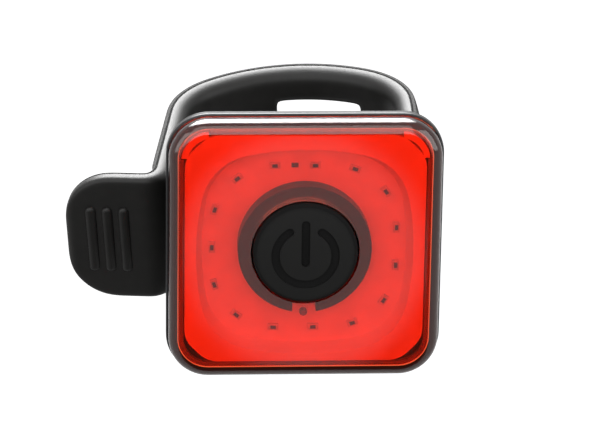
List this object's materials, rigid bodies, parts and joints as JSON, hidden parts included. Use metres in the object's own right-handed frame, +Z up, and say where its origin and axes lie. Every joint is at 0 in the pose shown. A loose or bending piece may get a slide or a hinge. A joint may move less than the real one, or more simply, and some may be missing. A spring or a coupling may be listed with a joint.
{
  "type": "rear bicycle light",
  "caption": "Square rear bicycle light with a clear red lens, central power button and a rubber strap with a pull tab that loops around the seat post.",
  "frame": {"origin": "centre of the strap loop, on the axis of the seat post, at the middle of the saddle's height", "axes": "+X to the right of somebody who looks into the lens, +Y away from them, from the lens to the post, +Z up; the post leans back by 10 degrees from +Z"},
  "size_m": [0.0559, 0.0482, 0.0407],
  "materials": {
    "red_lens": "clear red moulded polycarbonate, polished",
    "housing_black": "smooth black with a soft shine",
    "black_plastic": "fine matte moulded black",
    "white_plastic": "smooth white moulded",
    "board_white": "white solder mask",
    "led_body": "clear amber resin over a pale base",
    "led_die": "dark lamp die",
    "chip_black": "black epoxy with a matte face",
    "button_rubber": "matte black silicone rubber",
    "strap_rubber": "satin black moulded rubber",
    "grey_silicone": "soft grey silicone",
    "bright_steel": "plated steel, finely brushed",
    "foil_grey": "laminated foil pouch with a dull sheen",
    "lead_red": "red lead insulation",
    "lead_black": "black lead insulation"
  },
  "bodies": {
    "light": {"anchor_pin": "bright_steel", "battery": "foil_grey", "battery_foam": "grey_silicone", "battery_lead_black": "lead_black", "battery_lead_red": "lead_red", "board_resistors": "chip_black", "board_screws": "bright_steel", "bracket_screws": "bright_steel", "button_collar": "black_plastic", "controller_chip": "chip_black", "front_resistor": "chip_black", "housing": "housing_black", "indicator_led": "led_body", "led_board": "board_white", "led_dies": "led_die", "led_packages": "led_body", "lens_cover": "red_lens", "lens_seal": "grey_silicone", "reflector": "white_plastic", "saddle_pad": "strap_rubber", "socket_shell": "bright_steel", "socket_tongue": "black_plastic", "strap_bracket": "black_plastic", "switch_body": "black_plastic", "switch_dome": "bright_steel"},
    "button": {"button_cap": "button_rubber", "switch_plunger": "white_plastic"},
    "cover": {"socket_cover": "strap_rubber"},
    "strap": {"strap_band": "strap_rubber"},
    "tail": {"strap_tail": "strap_rubber"}
  },
  "joints": [
    {"name": "button_press", "type": "slide", "parent": "light", "child": "button", "axis": [0, 1, 0], "range_m": [0, 0.00045], "stiffness_N_per_m": 2000},
    {"name": "cover_hinge", "type": "hinge", "parent": "light", "child": "cover", "pos_m": [0, -0.01921, -0.02016], "axis": [1, 0, 0], "range_deg": [0, 120], "stiffness_Nm_per_rad": 0.0002},
    {"name": "strap_swing", "type": "hinge", "parent": "light", "child": "strap", "pos_m": [0.0174, -0.01182, -0.0009], "axis": [0, 0.1736, -0.9848], "range_deg": [0, 13.5]},
    {"name": "strap_peel", "type": "hinge", "parent": "strap", "child": "tail", "pos_m": [-0.01013, 0.01666, 0.00225], "axis": [0.0671, 0.1733, -0.9826], "range_deg": [0, 90], "stiffness_Nm_per_rad": 0.01}
  ],
  "couplings": [
    {"joint": "strap_swing", "follows": "strap_peel", "ratio": 0.15}
  ]
}
